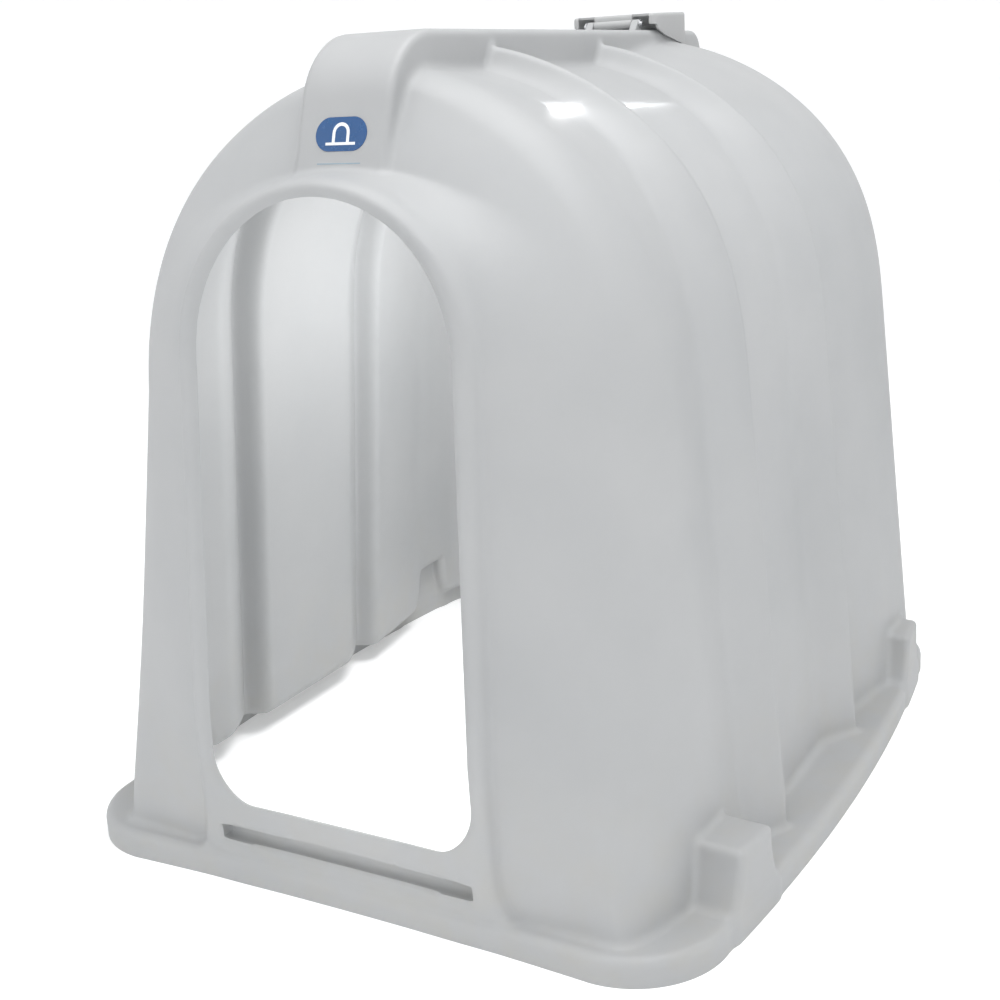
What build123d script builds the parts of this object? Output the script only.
from build123d import *
import os
from math import sin, cos, radians, pi

os.makedirs("parts", exist_ok=True)

# ---- overall base (mm): front is -Y, up is +Z, centre line on X = 0 ----
half_length = 720.0
half_width = 588.0
side_bow = 34.0
corner_radius = 155.0
flange_height = 45.0
wall = 5.0
flange_inset = 34.0

# ---- arch section ----
foot_half_width = 582.0
wall_slope = 0.085
spring_height = 789.0
crown_height = 1331.0
crown_power_z = 2.794
crown_power_x = 1.776

# ---- doorway frame ----
frame_foot_y = -716.0
frame_lean = 0.05
frame_half_width = 281.0
frame_top_half_width = 266.0
frame_apex = 1136.0
door_sill = 146.0
door_half_bottom = 242.0
door_half_top = 227.0
door_spring = 876.0
door_apex = 1111.0
door_corner = 84.0

# ---- rounded panel beside the doorway ----
shoulder_foot_half = 502.0
shoulder_top_half = 388.0
shoulder_crown = 1156.0
shoulder_foot_y = -664.0
shoulder_lean = 0.085

# ---- hoops ----
rim_foot_y = -580.0
rim_lean = 0.080
front_inset = 38.0
valley_inset = 50.0
rib2_y = -243.0
rib3_y = 157.0
rib_drop = 18.0
rib_run = 95.0

# ---- rear wall ----
rear_foot_y = 692.0
rear_lean = -0.04
rear_round_start = 430.0

# ---- ridge beam and strap ----
ridge_half_width = 80.0
ridge_top = 1335.0

# ---- stacking lugs ----
lug_front = 519.0
lug_rear = 415.0
lug_inner = 520.0
lug_outer = 620.0
lug_height = 141.0

# ---- sill channel ----
channel_z = 78.0
channel_height = 20.0
channel_half = 238.0
channel_depth = 8.0
backing_wall = 4.0

# ---- roof vent lid ----
lid_half = 88.0
lid_wall = 4.0
lid_front_y = 378.0
lid_rear_y = 548.0
lid_front_top = 1366.0
lid_rear_top = 1370.0
hinge_y = 390.0
hinge_z = 1348.0
hinge_pin_radius = 4.0
hinge_fit = 0.08
knuckle_radius = 8.0
knuckle_half = 40.0
ear_inner = 41.0
ear_outer = 55.0
vent_front_y = 424.0
vent_rear_y = 500.0
vent_half = 45.0
coaming_height = 8.0
buffer_y = 520.0
buffer_x = 55.0

# ---- badge ----
badge_length = 90.0
badge_height = 50.0
badge_drop = 21.0

# ---- rear rotary vent ----
disc_z = 720.0
disc_radius = 130.0
disc_thickness = 5.0
disc_gap = 0.4
slot_inner = 38.0
slot_outer = 112.0
slot_angle = 40.0
bolt_radius = 5.0
bolt_fit = 0.08
bolt_length = 30.0


def crown_x(z, half, crown):
    """Half width of the arch at height z."""
    base = half - wall_slope * z
    if z <= spring_height:
        return base
    u = min(1.0, (z - spring_height) / (crown - spring_height))
    return base * max(0.0, 1.0 - u ** crown_power_z) ** (1.0 / crown_power_x)


def arch_points(half, crown, count=15):
    """Right-hand arch points from the springing to the crown, top one included."""
    pts = []
    for i in range(count):
        q = pi / 2 * i / (count - 1)
        z = spring_height + (crown - spring_height) * sin(q) ** (2.0 / crown_power_z)
        x = (half - wall_slope * z) * cos(q) ** (2.0 / crown_power_x)
        pts.append((max(x, 0.0), z))
    return pts


def section(right_points, foot, y0, lean):
    """Closed arch face standing on a plane that leans with height; foot is (x, z)."""
    def place(x, z):
        return Vector(x, y0 + lean * z, z)
    left = [place(-x, z) for x, z in right_points]
    right = [place(x, z) for x, z in reversed(right_points[:-1])]
    crown = Spline(left + right)
    foot_l = place(-foot[0], foot[1])
    foot_r = place(foot[0], foot[1])
    wire = Wire([Line(foot_l, left[0]), crown, Line(right[-1], foot_r), Line(foot_r, foot_l)])
    return Face(wire)


def barrel_section(inset, y0, lean, floor):
    half = foot_half_width - inset
    pts = arch_points(half, crown_height - inset)
    return section(pts, (half - wall_slope * floor, floor), y0, lean)


def frame_section(inset, y0, floor):
    pts = []
    for i in range(15):
        q = pi / 2 * i / 14
        z = door_spring + (frame_apex - inset - door_spring) * sin(q)
        pts.append(((frame_top_half_width - inset) * cos(q), z))
    return section(pts, (frame_half_width - inset, floor), y0, frame_lean)


def shoulder_section(inset, floor):
    """Rounded panel between the frame and the rim: wide at the foot, narrow at the crown."""
    pts = []
    for i in range(15):
        q = pi / 2 * i / 14
        z = spring_height + (shoulder_crown - inset - spring_height) * sin(q) ** 0.85
        pts.append(((shoulder_top_half - inset) * cos(q) ** 1.05, z))
    return section(pts, (shoulder_foot_half - inset, floor), shoulder_foot_y + inset, shoulder_lean)


def hull(inset, floor):
    """Loft of every station from the doorway frame to the rear wall."""
    def st(extra, y, lean=0.0):
        return barrel_section(extra + inset, y, lean, floor)
    faces = [frame_section(inset, frame_foot_y + inset, floor)]
    faces.append(shoulder_section(inset, floor))
    faces.append(st(front_inset, rim_foot_y + inset, rim_lean))
    faces.append(st(front_inset + 8, -440.0))
    faces.append(st(valley_inset, rib2_y - rib_run - 10))
    faces.append(st(0.0, rib2_y))
    faces.append(st(valley_inset - 3, rib2_y + rib_drop))
    faces.append(st(valley_inset, rib3_y - rib_run))
    faces.append(st(0.0, rib3_y))
    faces.append(st(valley_inset - 3, rib3_y + rib_drop))
    faces.append(st(12.0, rear_round_start - 20))
    faces.append(st(14.0, rear_round_start + 50))
    faces.append(st(38.0, rear_round_start + 135))
    faces.append(st(80.0, rear_round_start + 215 - inset * 0.6, rear_lean * 0.5))
    faces.append(st(150.0, rear_foot_y - inset, rear_lean))
    return loft(faces, ruled=True)


def base_outline(inset):
    """Plan outline of the flange: bowed sides, large corner radii."""
    a = half_width - inset
    b = half_length - inset
    r = corner_radius - inset
    d = r * (1 - cos(pi / 4))
    w = Wire([
        Line((-a + r, -b), (a - r, -b)),
        ThreePointArc((a - r, -b), (a - d, -b + d), (a, -b + r)),
        ThreePointArc((a, -b + r), (a + side_bow, 0), (a, b - r)),
        ThreePointArc((a, b - r), (a - d, b - d), (a - r, b)),
        Line((a - r, b), (-a + r, b)),
        ThreePointArc((-a + r, b), (-a + d, b - d), (-a, b - r)),
        ThreePointArc((-a, b - r), (-a - side_bow, 0), (-a, -b + r)),
        ThreePointArc((-a, -b + r), (-a + d, -b + d), (-a + r, -b)),
    ])
    return Face(w)


def block(x0, x1, y0, y1, z0, z1):
    return Pos((x0 + x1) / 2, (y0 + y1) / 2, (z0 + z1) / 2) * Box(x1 - x0, y1 - y0, z1 - z0)


def side_prism(points, x0, x1):
    """Polygon drawn in (y, z), extruded from x0 to x1."""
    face = Face(Polyline([Vector(x0, y, z) for y, z in points], close=True))
    return extrude(face, amount=x1 - x0, dir=(1, 0, 0))


def strap(inset):
    t = inset
    pts = [(-655 + t, 1105), (-640 + t, 1126 - t), (-582 + t, 1130 - t), (-572 + t, 1150), (-533 + t, 1275)]
    pts += [(-515 + t, 1301 - t), (-478 + t, 1325 - t), (-430 + t, ridge_top - t), (596 - t, ridge_top - t)]
    pts += [(630 - t, 1322 - t), (650 - t, 1290), (672 - t, 900 + t), (640, 900 + t)]
    pts += [(560, 1150), (-440, 1150), (-560, 1095)]
    return side_prism(pts, -ridge_half_width + t, ridge_half_width - t)


# ---------------------------------------------------------------- shell
outer = hull(0.0, flange_height - 10) + strap(0.0)
inner = hull(wall, -5.0) + strap(wall)

flange = extrude(base_outline(0.0), amount=flange_height)
top_edges = flange.edges().filter_by(lambda e: e.bounding_box().min.Z > flange_height - 0.1)
flange = fillet(top_edges, 14.0)
under = extrude(base_outline(wall), amount=flange_height - wall)

rim_column = extrude(base_outline(0.0), amount=300)
rim_column_in = Pos(0, 0, -10) * extrude(base_outline(wall), amount=300)
lugs_out = []
lugs_in = []
for sx in (-1, 1):
    for sy in (-1, 1):
        x0, x1 = sorted((sx * lug_inner, sx * lug_outer))
        y0, y1 = sorted((sy * lug_front, sy * lug_rear))
        body = block(x0, x1, y0, y1, 20, lug_height)
        body = fillet(body.edges().filter_by(Axis.X).group_by(Axis.Z)[-1], 16.0)
        lugs_out.append(body & rim_column)
        u0, u1 = sorted((sx * (lug_inner - 20), sx * lug_outer))
        hole = block(u0, u1, y0 + wall, y1 - wall, -5, lug_height - wall)
        lugs_in.append(hole & rim_column_in)

shell = outer + flange + lugs_out
shell = shell - under - lugs_in - inner

# doorway
door_pts_r = [(door_half_top * cos(pi / 2 * i / 16), door_spring + (door_apex - door_spring) * sin(pi / 2 * i / 16))
              for i in range(17)]
arch = Spline([Vector(-x, -760, z) for x, z in door_pts_r] + [Vector(x, -760, z) for x, z in reversed(door_pts_r[:-1])])
k = door_corner * (1 - cos(pi / 4))
wb = door_half_bottom
door_wire = Wire([
    Line((-wb, -760, door_sill + door_corner), (-door_half_top, -760, door_spring)),
    arch,
    Line((door_half_top, -760, door_spring), (wb, -760, door_sill + door_corner)),
    ThreePointArc((wb, -760, door_sill + door_corner), (wb - k, -760, door_sill + k),
                  (wb - door_corner, -760, door_sill)),
    Line((wb - door_corner, -760, door_sill), (-wb + door_corner, -760, door_sill)),
    ThreePointArc((-wb + door_corner, -760, door_sill), (-wb + k, -760, door_sill + k),
                  (-wb, -760, door_sill + door_corner)),
])
door_cut = extrude(Face(door_wire), amount=190, dir=(0, 1, 0))
shell = shell - door_cut

# sill: closing panel up to the doorway edge, with the shallow channel
face_y = frame_foot_y + frame_lean * channel_z
channel = block(-channel_half, channel_half, -760, face_y + channel_depth,
                channel_z - channel_height / 2, channel_z + channel_height / 2)
backing = block(-channel_half - 6, channel_half + 6, face_y + 2, face_y + channel_depth + backing_wall,
                channel_z - channel_height / 2 - 6, channel_z + channel_height / 2 + 6)
shell = shell + backing - channel

# roof vent opening with its upstand, and the hinge ears
coaming = block(-vent_half - 5, vent_half + 5, vent_front_y - 5, vent_rear_y + 5,
                ridge_top - wall, ridge_top + coaming_height)
ears = []
for sx in (-1, 1):
    x0, x1 = sorted((sx * ear_inner, sx * ear_outer))
    ear = side_prism([(hinge_y - 24, ridge_top - 2), (hinge_y - 7, hinge_z + 5), (hinge_y, hinge_z + 8),
                      (hinge_y + 7, hinge_z + 5), (hinge_y + 8, ridge_top - 2)], x0, x1)
    ears.append(ear)
shell = shell + coaming + ears
shell = shell - block(-vent_half, vent_half, vent_front_y, vent_rear_y, ridge_top - 60, ridge_top + 60)
pin_hole = Pos(0, hinge_y, hinge_z) * Rot(0, 90, 0) * Cylinder(hinge_pin_radius + hinge_fit, 140)
shell = shell - pin_hole

# rear vent slots, cut square to the leaning rear wall
tilt = -2.2906


def rear_plane(offset):
    y = rear_foot_y + rear_lean * disc_z
    return Pos(0, y, disc_z) * Rot(-90 - tilt, 0, 0) * Pos(0, 0, offset)


def sector(r0, r1, a0, a1, z0, z1):
    a0r, a1r, am = radians(a0), radians(a1), radians((a0 + a1) / 2)
    p = [(r0 * cos(a0r), r0 * sin(a0r)), (r1 * cos(a0r), r1 * sin(a0r)), (r1 * cos(am), r1 * sin(am)),
         (r1 * cos(a1r), r1 * sin(a1r)), (r0 * cos(a1r), r0 * sin(a1r)), (r0 * cos(am), r0 * sin(am))]
    w = Wire([Line(p[0], p[1]), ThreePointArc(p[1], p[2], p[3]), Line(p[3], p[4]), ThreePointArc(p[4], p[5], p[0])])
    return Pos(0, 0, z0) * extrude(Face(w), amount=z1 - z0)


slots = [sector(slot_inner, slot_outer, 90 * i + 45 - slot_angle / 2, 90 * i + 45 + slot_angle / 2, -40, 40)
         for i in range(4)]
for s in slots:
    shell = shell - rear_plane(0) * s
shell = shell - rear_plane(0) * Cylinder(bolt_radius + bolt_fit, 80)

# ---------------------------------------------------------------- vent disc
disc = Cylinder(disc_radius, disc_thickness)
disc = fillet(disc.edges().filter_by(GeomType.CIRCLE).group_by(Axis.Z)[-1], 2.0)
for s in slots:
    disc = disc - s
disc = disc - Cylinder(bolt_radius + bolt_fit, 80)
grip = Pos(0, -92, 12) * Box(14, 50, 22)
grip = fillet(grip.edges().group_by(Axis.Z)[-1], 4.0)
disc = disc + grip
seat = disc_gap + disc_thickness / 2
vent_disc = rear_plane(seat) * disc

bolt_shank = Cylinder(bolt_radius, bolt_length)
bolt_head = Pos(0, 0, bolt_length / 2) * extrude(RegularPolygon(9.5, 6), amount=6.4)
top_face = disc_gap + disc_thickness + 0.3
washer = Cylinder(12, 2) - Cylinder(bolt_radius + 0.3, 6)
head_z = top_face + 2.0
vent_bolt = rear_plane(head_z - bolt_length / 2) * (bolt_shank + bolt_head)
washers = [rear_plane(top_face + 1.0) * washer, rear_plane(-wall - 1.4) * washer]
nut = Pos(0, 0, -4.25) * (extrude(RegularPolygon(9.5, 6), amount=8.5) - Cylinder(bolt_radius + 0.01, 30))
vent_nut = rear_plane(-wall - 2.4 - 4.4) * nut

# ---------------------------------------------------------------- vent lid
side = [(lid_front_y + 10, ridge_top + 5), (lid_front_y + 12, lid_front_top), (lid_rear_y, lid_rear_top),
        (lid_rear_y, 1303), (lid_rear_y - 31, 1311), (440, ridge_top - 9), (404, ridge_top + 3)]
lid_body = side_prism(side, -lid_half, lid_half)
drop = lid_wall
hollow = [(lid_front_y + 26, 1290), (lid_front_y + 26, lid_front_top - drop), (lid_rear_y - drop, lid_rear_top - drop),
          (lid_rear_y - drop, 1290)]
lid_body = lid_body - side_prism(hollow, -lid_half + lid_wall, lid_half - lid_wall)
lid_body = lid_body - block(-120, 120, 0, hinge_y + 12, 1300, 1346)
lid_body = lid_body - block(-lid_half + 12, -knuckle_half, 0, hinge_y + 12, 1300, 1370)
lid_body = lid_body - block(knuckle_half, lid_half - 12, 0, hinge_y + 12, 1300, 1370)
lid_body = lid_body - block(-ridge_half_width - 3, ridge_half_width + 3, hinge_y + 2, hinge_y + 12.5, 1290, 1346)
lid_body = lid_body - block(-ridge_half_width - 3, ridge_half_width + 3, lid_rear_y - 10, lid_rear_y + 5,
                            1280, ridge_top + 2.5)
knuckle = Pos(0, hinge_y, hinge_z) * Rot(0, 90, 0) * Cylinder(knuckle_radius, 2 * knuckle_half)
vent_lid = lid_body + knuckle
vent_lid = vent_lid - Pos(0, hinge_y, hinge_z) * Rot(0, 90, 0) * Cylinder(hinge_pin_radius + hinge_fit, 300)

lid_hinge_pin = Pos(0, hinge_y, hinge_z) * Rot(0, 90, 0) * Cylinder(hinge_pin_radius, 124)
clips = []
for sx in (-1, 1):
    clip = Cylinder(7.5, 2.5) - Cylinder(hinge_pin_radius + 0.01, 10)
    clips.append(Pos(sx * 57.5, hinge_y, hinge_z) * Rot(0, 90, 0) * clip)

buffers = []
for sx in (-1, 1):
    gap = lid_rear_top - lid_wall - ridge_top
    top = lid_rear_top - lid_wall - (lid_rear_y - buffer_y) * (lid_rear_top - lid_front_top) / (lid_rear_y - hinge_y) - 0.4
    buffers.append(Pos(sx * buffer_x, buffer_y, (ridge_top + top) / 2) * Cylinder(9, top - ridge_top))

# ---------------------------------------------------------------- badge on the strap
slope = (575.0 - 533.0) / 125.0
plate_dir = Vector(0, 39.0, 125.0).normalized()
normal = Vector(0, -125.0, 39.0).normalized()
centre = Vector(0, -552.5, 1212.5) - plate_dir * badge_drop + normal * 0.02
badge_plane = Plane(origin=centre, x_dir=(1, 0, 0), z_dir=normal)
badge = badge_plane * (extrude(SlotOverall(badge_length, badge_height), amount=0.6))


def save(name, shape):
    parts = shape if isinstance(shape, list) else [shape]
    solids = []
    for p in parts:
        solids += p.solids()
    result = solids[0] if len(solids) == 1 else Compound(children=solids)
    export_step(result, "parts/" + name + ".step")
    bb = result.bounding_box()
    print(name, len(solids), "solids", [round(v, 1) for v in (bb.min.X, bb.min.Y, bb.min.Z, bb.max.X, bb.max.Y, bb.max.Z)],
          round(sum(s.volume for s in solids) / 1000.0, 1), "cm3")


save("shell", shell)
save("vent_lid", vent_lid)
save("lid_hinge_pin", lid_hinge_pin)
save("lid_pin_clips", clips)
save("lid_buffers", buffers)
save("vent_disc", vent_disc)
save("vent_bolt", vent_bolt)
save("vent_washers", washers)
save("vent_nut", vent_nut)
save("badge", badge)
